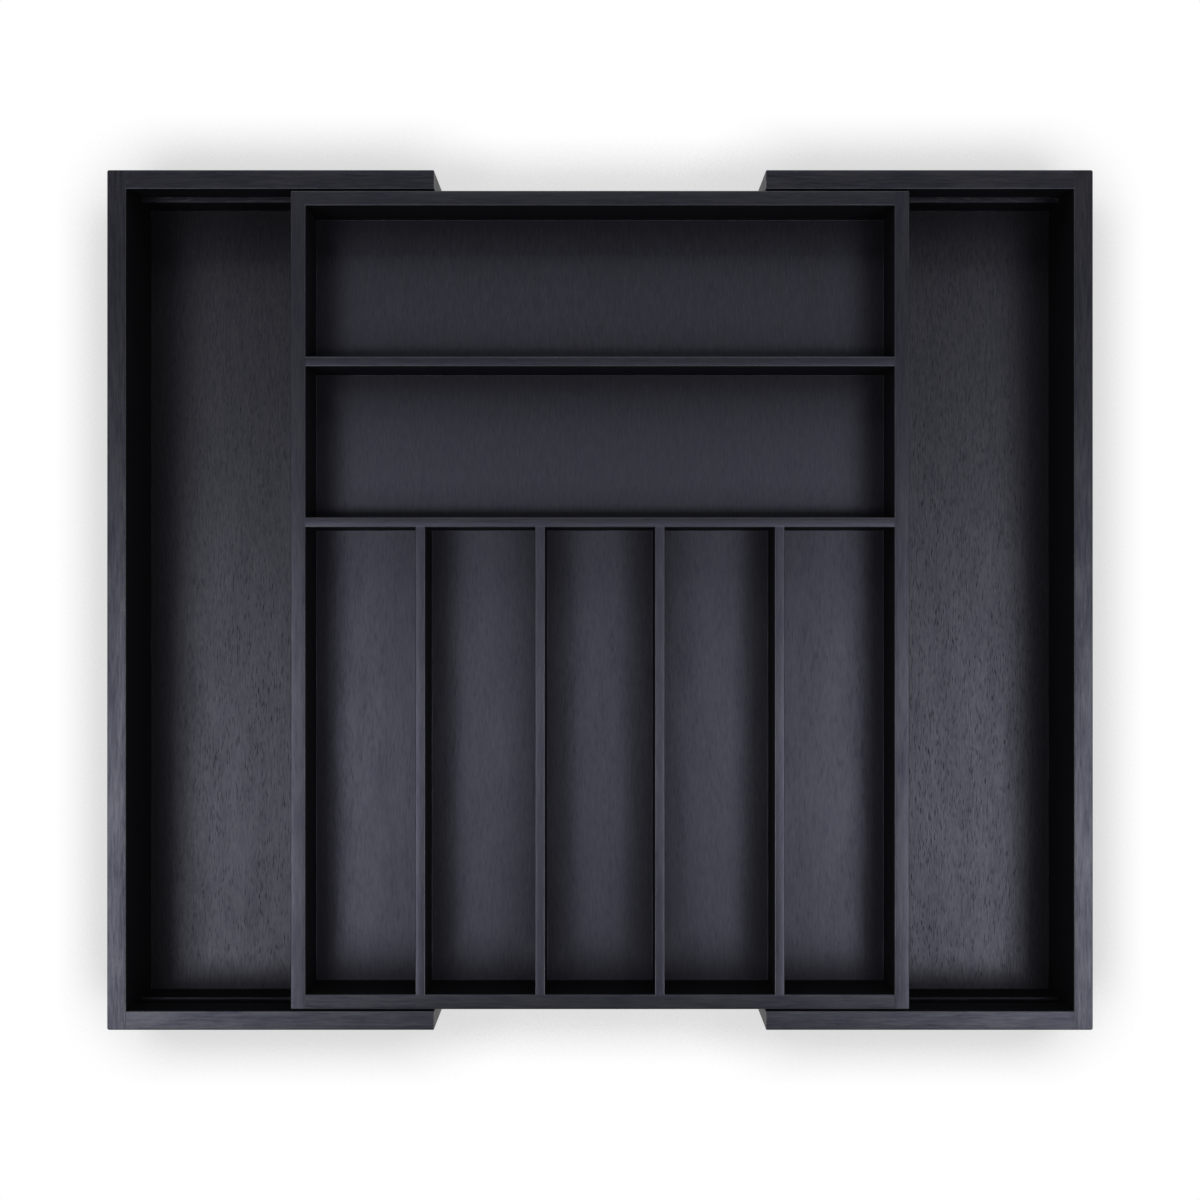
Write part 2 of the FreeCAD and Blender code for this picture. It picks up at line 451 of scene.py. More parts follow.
@dataclass(frozen=True)
class Figure:
    """The fibres, clouds and patches of the wood, and how they show in the stain and in the lacquer.

    Cells are counted per metre along and across the fibres.
    """

    fibre_cells: Cells = (60.0, 1000.0)
    fibre_layers: float = 3.0
    fibre_fineness: float = 0.8
    fibre_range: Span = (0.3, 0.7)
    fibre_tone: float = 0.6
    fibre_lacquer: float = 1.1
    fibre_relief: float = 0.5
    cloud_cells: Cells = (24.0, 110.0)
    cloud_range: Span = (0.25, 0.75)
    cloud_tone: float = 0.4
    cloud_lacquer: float = 0.55
    patch_cells: Cells = (22.0, 75.0)
    patch_layers: float = 1.0
    gloss: float = 0.1
    strength: float = 1.0


@dataclass(frozen=True)
class Pores:
    """Short open pores, one in a share of the cells, stronger in some patches of the wood."""

    cells: Cells = (150.0, 1000.0)
    size: float = 0.6
    core: float = 0.4
    share: float = 0.65
    fade: float = 0.1
    patches: Span = (0.1, 0.5)
    strength: float = 0.2
    lacquer: float = 0.3
    dullness: float = 0.2


NO_PORES = Pores(strength=0.0)


@dataclass(frozen=True)
class Rim:
    """The boards' top with its sanded edges, where the lacquer lies thick and hands rub it.

    The round's foot and crest, and where the painted shade of the matt faces begins, are depths in shares of
    its size.
    """

    height: float = 0.0635
    ease: float = 0.0005
    foot: Span = (1.0, 0.6)
    crest: Span = (0.0, 0.1)
    lacquer_end: Span = (0.4, 1.0)
    lacquer: float = 0.2
    worn_patches: Span = (0.45, 0.7)
    wear: float = 0.35
    roll_width: float = 0.0025
    roll_depth: float = 0.00011

    def step(self, height: Value, depths: Span) -> Value:
        """A smooth step between two depths below the top, in shares of the round."""
        start, end = (self.height - depth * self.ease for depth in depths)
        return height.rising(start, end)

    def arris(self, height: Value) -> Value:
        """The eased edge: 1 on the round, 0 on the flat top and below."""
        return self.step(height, self.foot) * self.step(height, self.crest)

    def rolled(self, across: Value, edges: Span) -> Value:
        """How far the sanding has rolled the top over towards a board's two edges.

        Args:
            across: The point's place across the fibres.
            edges: The board's edges.

        Returns:
            0 in the middle of the board, rising to 1 at its edges.
        """
        low, high = edges
        reach = across.ramp(low + self.roll_width, low) + across.ramp(high - self.roll_width, high)
        return reach * reach


@dataclass(frozen=True)
class GrooveLip:
    """The lower edge of a rail's groove, which the runner rubs; its pale wear is partly painted light, its
    dullness painted shade.
    """

    height: float = 0.0287
    reach: float = 0.0006
    wear: float = 1.0
    dullness: float = 0.0
    rub_cells: Place = (160.0, 900.0, 900.0)
    rubbed: Span = (0.5, 0.72)

    def near(self, height: Value) -> Value:
        """1 at the lip's height, 0 beyond its reach."""
        below = height.rising(self.height - self.reach, self.height)
        return below * height.rising(self.height + self.reach, self.height)


@dataclass(frozen=True)
class Pattern:
    """What a shader reads of the wood at a point, each from 0 to 1."""

    fibres: Value
    clouds: Value
    patches: Value
    pores: Value
    arris: Value


@dataclass(frozen=True)
class StainedWood:
    """Black stain under a thin satin lacquer, with the fibres, clouds and pores of the wood below it.

    The faces that look into a bay have the stain alone, a painted shade that darkens them. Faces are told
    apart by how far from the middle they lie along the way that they look, which is below zero for a face
    that looks inwards.
    """

    name: str
    grain: Grain
    seed: int
    matt: MattFaces = MattFaces.NONE
    satin: Coat = Coat(sheen=BOARD_SHEEN, shine=0.41, roughness=0.375)
    # The stain alone is also painted shade: on faces that look into a bay, on some lips and edges, and on
    # floors.
    stain: Coat = Coat(sheen=(0.85, 0.85, 1.0), shine=0.108, roughness=0.7, thickness=0.0)
    dark: Colour = (0.0016, 0.0016, 0.0019)
    pale: Colour = (0.0038, 0.0038, 0.0045)
    bare: Colour = (0.024, 0.023, 0.022)
    figure: Figure = Figure()
    pores: Pores = Pores()
    relief: float = 0.00004
    rim: Rim = Rim()
    edges: Span | None = None
    lip: GrooveLip | None = None
    bays: tuple[Bay, ...] = ()
    end_grain: Span = (0.4, 0.6)
    end_dullness: float = 0.55
    edge_dullness: float = 0.0
    inner_faces: Span = (-0.1, -0.11)
    ledge_faces: Span = (0.1, 0.05)
    outer_faces: Span = (0.1, 0.15)
    seed_shift: float = 17.3
    layer_shift: float = 5.9
    axis_shift: float = 3.1

    def cells(self, place: Value, counts: Cells, layer: Layer) -> Value:
        """Coordinates for one pattern, longer along the fibres than across.

        Args:
            place: The surface's coordinates.
            counts: Cells per metre along and across the fibres.
            layer: Which pattern this is, so that no two fall together.

        Returns:
            The coordinates in cells.
        """
        along, across = counts
        scale = tuple(along if axis else across for axis in self.grain.value)
        start = self.seed_shift * self.seed + self.layer_shift * layer.value
        shift = tuple(start + self.axis_shift * axis for axis in range(len(scale)))
        return place.shader.stretched(place, scale, shift)

    def open_pores(self, place: Value) -> Value:
        """Draws the pores.

        Args:
            place: The surface's coordinates.

        Returns:
            1 in the middle of a pore, 0 between pores.
        """
        shader, pores = place.shader, self.pores
        inputs = {"Vector": self.cells(place, pores.cells, Layer.PORES), "Scale": 1.0}
        cells = shader.node("ShaderNodeTexVoronoi", {}, inputs)
        chance = shader.part(shader.out(cells, "Color"), "X")
        chosen = chance.rising(1.0 - pores.share, 1.0 - pores.share + pores.fade)
        return shader.out(cells, "Distance").rising(pores.size, pores.core * pores.size) * chosen

    def pattern(self, place: Value) -> Pattern:
        """Draws the wood's patterns.

        Args:
            place: The surface's coordinates.

        Returns:
            What the other methods read of them.
        """
        shader, figure = place.shader, self.figure
        fibres = self.cells(place, figure.fibre_cells, Layer.FIBRES)
        clouds = self.cells(place, figure.cloud_cells, Layer.CLOUDS)
        patches = shader.noise(self.cells(place, figure.patch_cells, Layer.PATCHES), figure.patch_layers)
        return Pattern(
            fibres=shader.noise(fibres, figure.fibre_layers, figure.fibre_fineness),
            clouds=shader.noise(clouds),
            patches=patches,
            pores=self.open_pores(place) * patches.rising(*self.pores.patches) * self.pores.strength,
            arris=self.rim.arris(shader.part(place, "Z")),
        )

    def outward(self, place: Value) -> Value:
        """How far from the middle a face lies, below zero where it looks into a bay."""
        return place.shader.dot(place.shader.normal(), place)

    def at_lip(self, place: Value) -> Value:
        """1 on the groove's ledge and at its edge, 0 beyond its reach and on the outside of the rail."""
        near = self.lip.near(place.shader.part(place, "Z"))
        return near * self.outward(place).rising(*self.ledge_faces)

    def wear(self, place: Value, seen: Pattern) -> Value:
        """Where hands have rubbed the rim and a runner has rubbed the groove's lip, which is partly painted
        light.

        Args:
            place: The surface's coordinates.
            seen: The wood's patterns.

        Returns:
            The wear, with painted light on the lip, 0 where the stain is whole.
        """
        worn = seen.arris * seen.patches.rising(*self.rim.worn_patches) * self.rim.wear
        if self.lip is None:
            return worn
        rub = place.shader.noise(place.shader.stretched(place, self.lip.rub_cells, ORIGIN))
        # On the groove's lip, the pale rubbed wood is partly painted light.
        return worn + self.at_lip(place) * rub.rising(*self.lip.rubbed) * self.lip.wear

    def colour(self, place: Value, seen: Pattern) -> Value:
        """The stain's colour, darker and paler with the figure, worn to bare wood, partly painted light on a
        lip.

        Args:
            place: The surface's coordinates.
            seen: The wood's patterns.

        Returns:
            The colour.
        """
        shader, figure = place.shader, self.figure
        tone = seen.clouds.rising(*figure.cloud_range) * figure.cloud_tone
        tone = tone + seen.fibres.rising(*figure.fibre_range) * figure.fibre_tone
        return shader.blend(self.wear(place, seen), shader.blend(tone, self.dark, self.pale), self.bare)

    def thickness(self, seen: Pattern) -> Value:
        """How thick the clear lacquer lies.

        Args:
            seen: The wood's patterns.

        Returns:
            The weight of the clear layer.
        """
        clouds = (seen.clouds - NOISE_MIDDLE) * self.figure.cloud_lacquer
        fibres = (seen.fibres - NOISE_MIDDLE) * self.figure.fibre_lacquer
        gathered = (clouds + fibres) * self.figure.strength + seen.arris * self.rim.lacquer
        return (gathered - seen.pores * self.pores.lacquer + self.satin.thickness).larger(0.0)

    def normal(self, place: Value, seen: Pattern) -> Value:
        """The surface with its raised fibres, its pores and its sanded edges.

        Args:
            place: The surface's coordinates.
            seen: The wood's patterns.

        Returns:
            The normal.
        """
        shader = place.shader
        height = seen.fibres * (self.figure.fibre_relief * self.figure.strength) - seen.pores
        if self.edges is not None:
            across = shader.part(place, "Y" if self.grain is Grain.ALONG_X else "X")
            height = height - self.rim.rolled(across, self.edges) * (self.rim.roll_depth / self.relief)
        return shader.bump(height, self.relief)

    def painted_shade_and_end_grain_share(self, place: Value, seen: Pattern) -> Value:
        """How much of the stain alone shows, as painted shade on inward faces, lips and outer edges, and on
        end grain.

        Args:
            place: The surface's coordinates.
            seen: The wood's patterns.

        Returns:
            1 where only the stain shows, 0 on the rest.
        """
        shader = place.shader
        below_rim = self.rim.step(shader.part(place, "Z"), self.rim.lacquer_end)
        if self.matt is MattFaces.ALL:
            return below_rim
        outward = self.outward(place)
        along = shader.dot(shader.normal(), self.grain.value)
        dull = (along * along).rising(*self.end_grain) * self.end_dullness
        # Faces that look into a bay take the stain alone, a painted shade that darkens them.
        dull = dull.larger(outward.rising(*self.inner_faces))
        if self.lip is not None:
            # The lip's dullness is painted shade on its ledge.
            dull = dull.larger(self.at_lip(place) * self.lip.dullness)
        # This dulls the outer arris, painted shade along the boards' outer edges.
        rubbed = seen.arris * outward.rising(*self.outer_faces) * self.edge_dullness
        return (below_rim * dull).larger(rubbed)

    def floor_painted_shade(self, place: Value) -> Value:
        """Painted shade on the floor at the foot of some walls, as the share of the stain alone that shows
        there.
        """
        x, y = (place.shader.part(place, axis) for axis in "XY")
        return reduce(Value.larger, [bay.painted_foot_shade(x, y) for bay in self.bays])

    def material(self) -> bpy.types.Material:
        """Builds the finish.

        Returns:
            The material.
        """
        shader = Shader(self.name)
        place = shader.place()
        seen = self.pattern(place)
        wood = {"Base Color": self.colour(place, seen), "Normal": self.normal(place, seen)}
        cloudy = (NOISE_MIDDLE - seen.clouds) * self.figure.gloss + seen.pores * self.pores.dullness
        satin = self.satin.shade(shader, {
            **wood,
            "Roughness": cloudy + self.satin.roughness,
            "Coat Weight": self.thickness(seen),
            "Coat Roughness": self.satin.roughness,
        })
        if self.matt is MattFaces.NONE and not self.bays:
            return shader.finish(satin)
        fibrous = (NOISE_MIDDLE - seen.fibres) * self.figure.gloss
        stain = self.stain.shade(shader, {**wood, "Roughness": fibrous + self.stain.roughness})
        share = self.floor_painted_shade(place) if self.bays else self.painted_shade_and_end_grain_share(place, seen)
        return shader.finish(shader.mixed(share, satin, stain))


@dataclass(frozen=True)
class DrawnWire:
    """Plain drawn steel wire."""

    name: str = "drawn_wire"
    colour: Colour = (0.5, 0.5, 0.51)
    line_cells: Place = (9000.0, 9000.0, 9000.0)
    roughness: float = 0.25
    line_roughness: float = 0.2

    def material(self) -> bpy.types.Material:
        """Builds the finish, with fine lines from the die.

        Returns:
            The material.
        """
        shader = Shader(self.name)
        lines = shader.noise(shader.stretched(shader.place(), self.line_cells, ORIGIN))
        inputs = {
            "Base Color": (*self.colour, OPAQUE),
            "Metallic": 1.0,
            "Roughness": lines * self.line_roughness + self.roughness,
        }
        return shader.finish(shader.node("ShaderNodeBsdfPrincipled", {}, inputs))


@dataclass(frozen=True)
class PaperSweep:
    """White studio paper that is shown white, with a painted shadow that greys it softly where the object
    stands on it.
    """

    name: str = "paper_sweep"
    paper: Colour = (0.86, 0.86, 0.86)
    shade: Colour = (0.685, 0.685, 0.685)
    reach: float = 0.045
    open_range: Span = (0.715, 1.0)
    samples: int = 4

    def material(self) -> bpy.types.Material:
        """Builds the finish.

        Returns:
            The material.
        """
        shader = Shader(self.name)
        settings = {"samples": self.samples}
        # The occlusion paints a soft shadow into the shown colour round the object.
        hidden = shader.node("ShaderNodeAmbientOcclusion", settings, {"Distance": self.reach})
        seen = shader.blend(shader.out(hidden, "AO").rising(*self.open_range), self.shade, WHITE)
        glow = shader.node("ShaderNodeEmission", {}, {"Color": seen, "Strength": 1.0})
        matt = shader.node("ShaderNodeBsdfDiffuse", {}, {"Color": (*self.paper, OPAQUE)})
        rays = shader.node("ShaderNodeLightPath", {}, {})
        shown = shader.out(rays, "Is Camera Ray").larger(shader.out(rays, "Is Glossy Ray"))
        shown = shown.larger(shader.out(rays, "Is Transmission Ray"))
        return shader.finish(shader.mixed(shown, matt, glow))


def corner_rank(face: bmesh.types.BMFace, count: int) -> int:
    """Ranks a face by its corners.

    Args:
        face: A face of a mesh whose vertices are numbered.
        count: How many vertices the mesh has.

    Returns:
        A number that is its own for each face between two neighbouring rows of vertices.
    """
    corners = [vert.index for vert in face.verts]
    return min(corners) * count + max(corners)


def make_piece(name: str, bm: bmesh.types.BMesh, finish: bpy.types.Material) -> bpy.types.Object:
    """Turns a bmesh into an object at the origin, its faces in an order that is the same in each run.

    Args:
        name: The piece's name.
        bm: Its shape, which is freed.
        finish: Its material.

    Returns:
        The new object.
    """
    bm.verts.index_update()
    bm.faces.sort(key=lambda face: corner_rank(face, len(bm.verts)))
    mesh = bpy.data.meshes.new(name)
    bm.to_mesh(mesh)
    bm.free()
    mesh.materials.append(finish)
    made = bpy.data.objects.new(name, mesh)
    bpy.context.scene.collection.objects.link(made)
    return made


def dress(node: bpy.types.Object, finish: bpy.types.Material) -> None:
    """Gives a CAD node its finish in place of the materials that it came with.

    Args:
        node: The CAD node.
        finish: Its material.
    """
    node.data.materials.clear()
    node.data.materials.append(finish)
    LOG.info("dressed %s in %s", node.name, finish.name)


@dataclass(frozen=True)
class LacquerBead:
    """The lacquer that gathers where a floor meets the walls of a bay: a hollow fillet of uneven width."""

    radius: float = 0.00045
    unevenness: float = 0.35
    wave: float = 0.011
    spacing: float = 0.004
    sink: float = 0.0001
    facets: int = 3

    def section(self) -> list[tuple[float, float]]:
        """The fillet's closed section.

        Returns:
            Distance from the wall and height over the floor, in radii: the hollow face from the wall down
            to the floor, then the points that close it inside the floor and the wall.
        """
        buried = -self.sink / self.radius
        turns = [QUARTER_TURN * step / self.facets for step in range(self.facets + 1)]
        hollow = [(1 - math.cos(turn), 1 - math.sin(turn)) for turn in turns]
        return [*hollow, (1.0, buried), (buried, buried), (buried, 1.0)]

    def lay_path(self, bm: bmesh.types.BMesh, bay: Bay) -> None:
        """Draws the foot of the walls as edges, round the bay or from end to end of its open side.

        Args:
            bm: The mesh to draw in.
            bay: The floor that the bead goes round.
        """
        near, far = (bay.left, bay.right) if Wall.RIGHT in bay.walls else (bay.right, bay.left)
        corners = [(near, bay.front), (far, bay.front), (far, bay.back), (near, bay.back)]
        verts = [bm.verts.new((x, y, bay.floor)) for x, y in corners]
        edges = [bm.edges.new(pair) for pair in zip(verts, verts[1:])]
        if len(bay.walls) == len(Wall):
            edges.append(bm.edges.new((verts[-1], verts[0])))
        for edge in edges:
            bmesh.ops.subdivide_edges(bm, edges=[edge], cuts=int(edge.calc_length() / self.spacing))

    def set_out(self, foot: Vector, bay: Bay, out: float, up: float) -> Vector:
        """A point of the section, at a point along the foot of the walls.

        Args:
            foot: The point on the foot.
            bay: The bay.
            out: Distance from the wall, in radii.
            up: Height over the floor, in radii.

        Returns:
            The point in the model's frame.
        """
        radius = self.radius * (1 + self.unevenness * noise.noise(foot / self.wave))
        return foot + bay.inwards(foot) * out * radius + Vector((0.0, 0.0, up * radius))

    def build(self, name: str, bay: Bay, finish: bpy.types.Material) -> bpy.types.Object:
        """Runs the bead round a bay's floor.

        Args:
            name: The piece's name.
            bay: The floor that it goes round.
            finish: Its material.

        Returns:
            The new piece.
        """
        bm = bmesh.new()
        station = bm.verts.layers.int.new("station")
        self.lay_path(bm, bay)
        feet = [vert.co.copy() for vert in bm.verts]
        for number, vert in enumerate(bm.verts):
            vert[station] = number
        first = edges = list(bm.edges)
        for step, (out, up) in enumerate(self.section()):
            if step:
                made = bmesh.ops.extrude_edge_only(bm, edges=edges)["geom"]
                edges = [item for item in made if isinstance(item, bmesh.types.BMEdge)]
            for vert in {vert for edge in edges for vert in edge.verts}:
                vert.co = self.set_out(feet[vert[station]], bay, out, up)
        bmesh.ops.bridge_loops(bm, edges=first + edges)
        bmesh.ops.holes_fill(bm, edges=[edge for edge in bm.edges if edge.is_boundary])
        bmesh.ops.recalc_face_normals(bm, faces=bm.faces)
        return make_piece(name, bm, finish)


@dataclass
class MiddleTray:
    """The divided tray in the middle."""

    nodes: dict[str, bpy.types.Object]
    body: str = "tray"
    across: tuple[str, ...] = (
        "tray_back_wall", "tray_front_wall", "rear_cross_divider", "front_cross_divider",
        "front_left_runner", "back_left_runner", "front_right_runner", "back_right_runner",
    )
    lengthwise: tuple[str, ...] = (
        "tray_left_wall", "tray_right_wall",
        "long_divider_1", "long_divider_2", "long_divider_3", "long_divider_4",
    )
    floor: str = "tray_floor"
    brads: tuple[str, ...] = ("tray_corner_brads", "runner_brads")
    dividers: int = 4
    middle_slack: float = 0.005
    wall_coat: Coat = Coat(sheen=TRAY_SHEEN, shine=0.455, roughness=0.375)
    front_coat: Coat = Coat(sheen=TRAY_SHEEN, shine=0.335, roughness=0.375)
    cross_coat: Coat = Coat(sheen=TRAY_SHEEN, shine=0.63, roughness=0.35)
    divider_coat: Coat = Coat(sheen=TRAY_SHEEN, shine=0.58, roughness=0.35)
    floor_coat: Coat = Coat(sheen=TRAY_SHEEN, shine=0.56, roughness=0.39)
    floor_figure: Figure = Figure(fibre_cells=(180.0, 1500.0), cloud_lacquer=0.25, strength=0.8)
    floor_pores: Pores = Pores(strength=0.35)
    floor_seed: int = 31
    # The margins are painted shade on the floor at the foot of the walls.
    outer_margin: Margin = Margin(reach=0.0205, share=0.62)
    front_margin: Margin = Margin(reach=0.032, share=0.6)
    inner_margin: Margin = Margin(reach=0.017, share=0.32)
    shaded_bays: tuple[int, ...] = (2, 4)
    bead: LacquerBead = LacquerBead()
    bead_coat: Coat = Coat(sheen=TRAY_SHEEN, shine=0.2, roughness=0.45, thickness=0.05)
    bead_seed: int = 61

    def coat(self, name: str) -> Coat:
        """How a board of the tray shines.

        Args:
            name: The board's node.

        Returns:
            Its lacquer.
        """
        if "divider" in name:
            return self.cross_coat if "cross" in name else self.divider_coat
        return self.front_coat if name == "tray_front_wall" else self.wall_coat

    def dress(self, wire: bpy.types.Material) -> None:
        """Gives each of the tray's pieces its finish.

        Args:
            wire: The finish of the brads.
        """
        for seed, name in enumerate(self.across + self.lengthwise):
            grain = Grain.ALONG_X if name in self.across else Grain.ALONG_Y
            matt = MattFaces.ALL if "divider" in name else MattFaces.INWARD
            board = StainedWood(
                f"board_{name}", grain, seed, matt, satin=self.coat(name), edges=Box.of(name).edges(grain)
            )
            dress(self.nodes[name], board.material())
        floor = StainedWood(
            "tray_veneer", Grain.ALONG_Y, self.floor_seed, satin=self.floor_coat, figure=self.floor_figure,
            pores=self.floor_pores, bays=tuple(self.bays().values()),
        )
        dress(self.nodes[self.floor], floor.material())
        for name in self.brads:
            dress(self.nodes[name], wire)

    def outer_walls(self, left: float, right: float) -> list[Wall]:
        """The side walls of a long bay that stand away from the tray's middle.

        Args:
            left: The bay's left edge.
            right: The bay's right edge.

        Returns:
            One wall, or both for the bay in the middle.
        """
        middle = (left + right) / 2
        found = [Wall.LEFT] if middle < self.middle_slack else []
        return found + ([Wall.RIGHT] if middle > -self.middle_slack else [])

    def long_margins(self, number: int, left: float, right: float) -> dict[Wall, Margin]:
        """The margins on the floor of a long bay.

        Args:
            number: The bay's number, from the left.
            left: The bay's left edge.
            right: The bay's right edge.

        Returns:
            The margin along each wall that has one.
        """
        sides = (Wall.LEFT, Wall.RIGHT) if number in self.shaded_bays else ()
        outer = self.outer_walls(left, right)
        return {
            **dict.fromkeys(sides, self.inner_margin),
            **dict.fromkeys(outer, self.outer_margin),
            Wall.FRONT: self.front_margin,
        }

    def bays(self) -> dict[str, Bay]:
        """The tray's bays, between its walls and dividers.

        Returns:
            Each bay by its name.
        """
        left, right = Box.of("tray_left_wall").right, Box.of("tray_right_wall").left
        front, back = Box.of("tray_front_wall").back, Box.of("tray_back_wall").front
        rear, middle = Box.of("rear_cross_divider"), Box.of("front_cross_divider")
        floor = Box.of(self.floor).top
        margins = dict.fromkeys((Wall.LEFT, Wall.RIGHT, Wall.BACK), self.outer_margin)
        found = {
            "back_bay": Bay(left, right, rear.back, back, floor, margins),
            "second_bay": Bay(left, right, middle.back, rear.front, floor, margins),
        }
        dividers = [Box.of(f"long_divider_{number}") for number in range(1, self.dividers + 1)]
        starts = [left] + [divider.right for divider in dividers]
        ends = [divider.left for divider in dividers] + [right]
        for number, (start, end) in enumerate(zip(starts, ends), 1):
            margins = self.long_margins(number, start, end)
            found[f"long_bay_{number}"] = Bay(start, end, front, middle.front, floor, margins)
        return found

    def build(self) -> None:
        """Runs the lacquer beads round the bays."""
        lacquer = StainedWood(
            "tray_bead_lacquer", Grain.ALONG_Y, self.bead_seed, satin=self.bead_coat, pores=NO_PORES
        ).material()
        for name, bay in self.bays().items():
            piece = self.bead.build(f"{name}_bead", bay, lacquer)
            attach(piece, self.body)
            LOG.info("built %s", piece.name)


@dataclass(frozen=True)
class Veneer:
    """A wing's sheet of veneer.

    The two sheets differ in how they shine, in how plain their fibres and pores are, and in their margins of
    painted shade.
    """

    shine: float
    fibres: float
    pores: float
    margin: Margin
    sheen: Colour = (0.73, 0.74, 1.0)
    roughness: float = 0.42
    fibre_cells: Cells = (180.0, 2200.0)
    cloud_lacquer: float = 0.12
    pore_cells: Cells = (185.0, 2200.0)
    pore_size: float = 0.42
    pore_share: float = 0.45
    pore_dullness: float = 0.35

    def finish(self, name: str, seed: int, bay: Bay) -> bpy.types.Material:
        """Builds the finish of a floor.

        Args:
            name: The material's name.
            seed: Where its patterns start.
            bay: The floor's bay.

        Returns:
            The material.
        """
        figure = Figure(fibre_cells=self.fibre_cells, cloud_lacquer=self.cloud_lacquer, strength=self.fibres)
        pores = Pores(
            cells=self.pore_cells, size=self.pore_size, share=self.pore_share, strength=self.pores,
            dullness=self.pore_dullness,
        )
        satin = Coat(self.sheen, self.shine, self.roughness)
        wood = StainedWood(name, Grain.ALONG_Y, seed, satin=satin, figure=figure, pores=pores, bays=(bay,))
        return wood.material()


VENEERS = {
    Side.LEFT: Veneer(shine=0.41, fibres=1.3, pores=0.75, margin=Margin(reach=0.035, share=0.65)),
    Side.RIGHT: Veneer(shine=0.495, fibres=1.7, pores=1.0, margin=Margin(reach=0.0265, share=0.65)),
}


@dataclass
class Wing:
    """A side wing that slides out of the tray."""

    nodes: dict[str, bpy.types.Object]
    side: Side
    veneer: Veneer
    # The front margin is painted shade on the floor at the foot of the front rail.
    front_margin: Margin = Margin(reach=0.016, share=0.65)
    board_figure: Figure = Figure(strength=1.35)
    # The outer arris's dullness is painted shade along the outer edges.
    edge_dullness: float = 0.9
    # The front lip's dullness is painted shade; the back lip's full wear is partly painted light.
    front_lip_painted_shade: GrooveLip = GrooveLip(wear=0.35, dullness=0.6)
    back_lip_painted_light: GrooveLip = GrooveLip()
    middle_seed: int = 40
    side_seeds: int = 10
    bead: LacquerBead = LacquerBead()
    bead_coat: Coat = Coat(sheen=BOARD_SHEEN, shine=0.1, roughness=0.55, thickness=0.0)
    bead_seed: int = 66

    @property
    def body(self) -> str:
        """The wing's body in the model."""
        return f"{self.side.name.lower()}_wing"

    def dress(self, wire: bpy.types.Material) -> None:
        """Gives each of the wing's pieces its finish.

        Args:
            wire: The finish of the brads.
        """
        seed = self.middle_seed + self.side_seeds * self.side.value
        boards = {"front_rail": self.front_lip_painted_shade, "back_rail": self.back_lip_painted_light, "end_wall": None}
        for offset, (piece, lip) in enumerate(boards.items()):
            grain = Grain.ALONG_Y if piece == "end_wall" else Grain.ALONG_X
            name = f"{self.body}_{piece}"
            board = StainedWood(
                f"board_{name}", grain, seed + offset, MattFaces.INWARD, figure=self.board_figure, lip=lip,
                edges=Box.of(name).edges(grain), edge_dullness=self.edge_dullness,
            )
            dress(self.nodes[name], board.material())
        veneer = self.veneer.finish(f"{self.body}_veneer", seed + len(boards), self.bay())
        dress(self.nodes[f"{self.body}_floor"], veneer)
        dress(self.nodes[f"{self.body}_corner_brads"], wire)

    def bay(self) -> Bay:
        """The wing's floor, open towards the tray.

        Returns:
            The bay between the end wall and the rails.
        """
        wall, floor = Box.of(f"{self.body}_end_wall"), Box.of(f"{self.body}_floor")
        front, back = Box.of(f"{self.body}_front_rail").back, Box.of(f"{self.body}_back_rail").front
        outer = Wall.LEFT if self.side is Side.LEFT else Wall.RIGHT
        left, right = (wall.right, floor.right) if outer is Wall.LEFT else (floor.left, wall.left)
        walls = (outer, Wall.FRONT, Wall.BACK)
        margins = {outer: self.veneer.margin, Wall.BACK: self.veneer.margin, Wall.FRONT: self.front_margin}
        return Bay(left, right, front, back, floor.top, margins, walls)

    def build(self) -> None:
        """Runs the lacquer bead round the wing's floor."""
        lacquer = StainedWood(
            f"{self.body}_bead_lacquer", Grain.ALONG_Y, self.bead_seed + self.side.value,
            satin=self.bead_coat, pores=NO_PORES,
        ).material()
        piece = self.bead.build(f"{self.body}_bead", self.bay(), lacquer)
        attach(piece, self.body)
        LOG.info("built %s", piece.name)


@dataclass(frozen=True)
class SoftBox:
    """A flat studio lamp that faces straight down, alone or with a twin across the middle."""

    name: str
    centre: Place
    width: float
    depth: float
    radiance: float
    twin: bool = True

    def build(self) -> None:
        """Adds the lamp, and its twin if it has one."""
        lamp = bpy.data.lights.new(self.name, "AREA")
        lamp.shape = "RECTANGLE"
        lamp.size = self.width
        lamp.size_y = self.depth
        lamp.energy = self.radiance * math.pi * self.width * self.depth
        x, y, z = self.centre
        for side in Side if self.twin else (Side.RIGHT,):
            made = bpy.data.objects.new(f"{side.name.lower()}_{self.name}", lamp)
            made.location = (side.value * x, y, z)
            made.visible_camera = False
            bpy.context.scene.collection.objects.link(made)


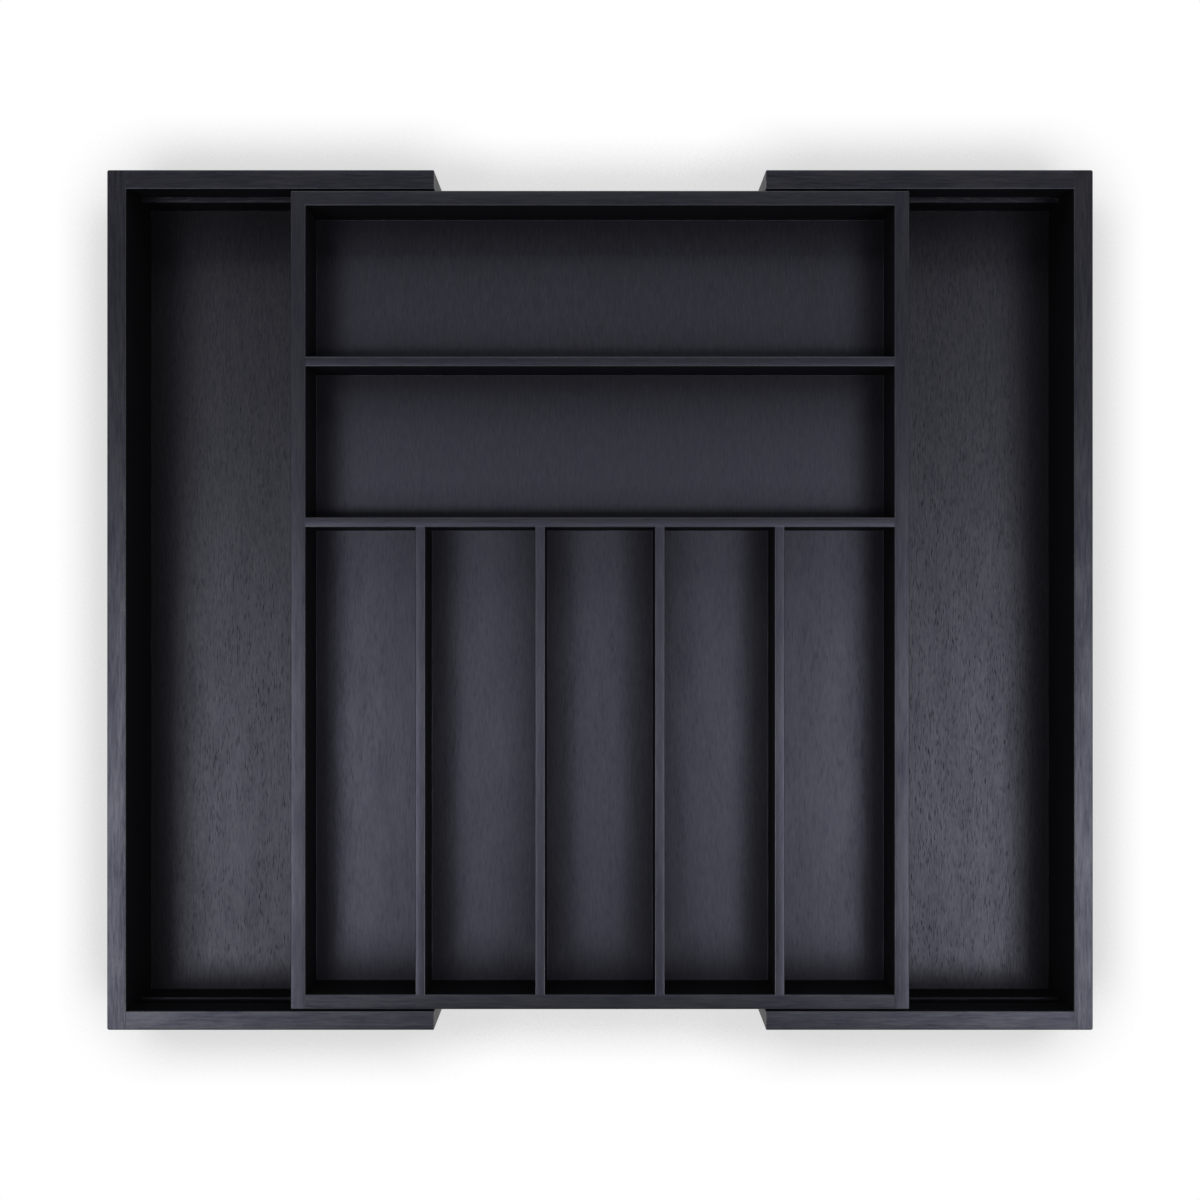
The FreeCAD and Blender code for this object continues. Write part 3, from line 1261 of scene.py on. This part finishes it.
@dataclass
class Studio:
    """The paper sweep, the lamps and the camera."""

    rim: float
    view_height: float = 1.0136
    frame_width: float = 0.6086
    sensor: float = 36.0
    sweep_radius: float = 5.0
    sweep_bend: float = 1.0
    sweep_height: float = 4.0
    sweep_drop: float = 0.0004
    sweep_sides: int = 64
    bend_facets: int = 8
    ambient: float = 0.03
    lamps: tuple[SoftBox, ...] = (
        SoftBox("side_box", centre=(0.525, -0.148, 1.2), width=0.442, depth=0.159, radiance=9.1),
        SoftBox("front_box", centre=(0.703, -0.364, 1.2), width=0.526, depth=0.493, radiance=7.9),
        SoftBox("inner_box", centre=(0.233, -0.135, 1.2), width=0.181, depth=0.137, radiance=1.4),
        SoftBox("middle_box", centre=(0.0, -0.134, 1.2), width=0.27, depth=0.118, radiance=5.0,
                twin=False),
        SoftBox("back_box", centre=(0.383, 1.09, 1.2), width=0.955, depth=0.703, radiance=2.55),
    )

    def build_sweep(self) -> None:
        """Adds the paper: a round floor that bends up into a wall."""
        bm = bmesh.new()
        bmesh.ops.create_circle(bm, cap_ends=True, segments=self.sweep_sides, radius=self.sweep_radius)
        foot = list(bm.edges)
        wall = bmesh.ops.extrude_edge_only(bm, edges=foot)["geom"]
        top = [item for item in wall if isinstance(item, bmesh.types.BMVert)]
        bmesh.ops.translate(bm, verts=top, vec=(0.0, 0.0, self.sweep_height))
        bmesh.ops.bevel(
            bm, geom=foot, offset=self.sweep_bend, affect="EDGES", segments=self.bend_facets, profile=0.5,
            material=-1,
        )
        bmesh.ops.translate(bm, verts=bm.verts, vec=(0.0, 0.0, -self.sweep_drop))
        bmesh.ops.recalc_face_normals(bm, faces=bm.faces)
        if sum(face.normal.z * face.calc_area() for face in bm.faces) < 0:
            bmesh.ops.reverse_faces(bm, faces=bm.faces)
        make_piece("paper_sweep", bm, PaperSweep().material())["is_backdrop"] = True

    def build_camera(self) -> None:
        """Adds the camera, straight above the middle of the rim."""
        data = bpy.data.cameras.new("camera")
        data.sensor_width = self.sensor
        data.lens = self.sensor * self.view_height / self.frame_width
        made = bpy.data.objects.new("camera", data)
        made.location = (0.0, 0.0, self.rim + self.view_height)
        bpy.context.scene.collection.objects.link(made)
        bpy.context.scene.camera = made

    def build(self) -> None:
        """Adds everything around the object."""
        world = bpy.data.worlds.new("studio")
        world.use_nodes = True
        sky = world.node_tree.nodes["Background"]
        sky.inputs["Color"].default_value = (*WHITE, OPAQUE)
        sky.inputs["Strength"].default_value = self.ambient
        bpy.context.scene.world = world
        self.build_sweep()
        for lamp in self.lamps:
            lamp.build()
        self.build_camera()
        bpy.context.scene.view_settings.view_transform = "Standard"


def main() -> None:
    """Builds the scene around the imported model."""
    logging.basicConfig(level=logging.INFO, format="%(message)s")
    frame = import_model()
    cad_box = [list(corner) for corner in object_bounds()]
    wire = DrawnWire().material()
    tray = MiddleTray(frame["nodes"])
    tray.dress(wire)
    tray.build()
    for side, veneer in VENEERS.items():
        wing = Wing(frame["nodes"], side, veneer)
        wing.dress(wire)
        wing.build()
    _, (_, _, top) = cad_box
    Studio(rim=top).build()


if __name__ == "__main__":
    main()
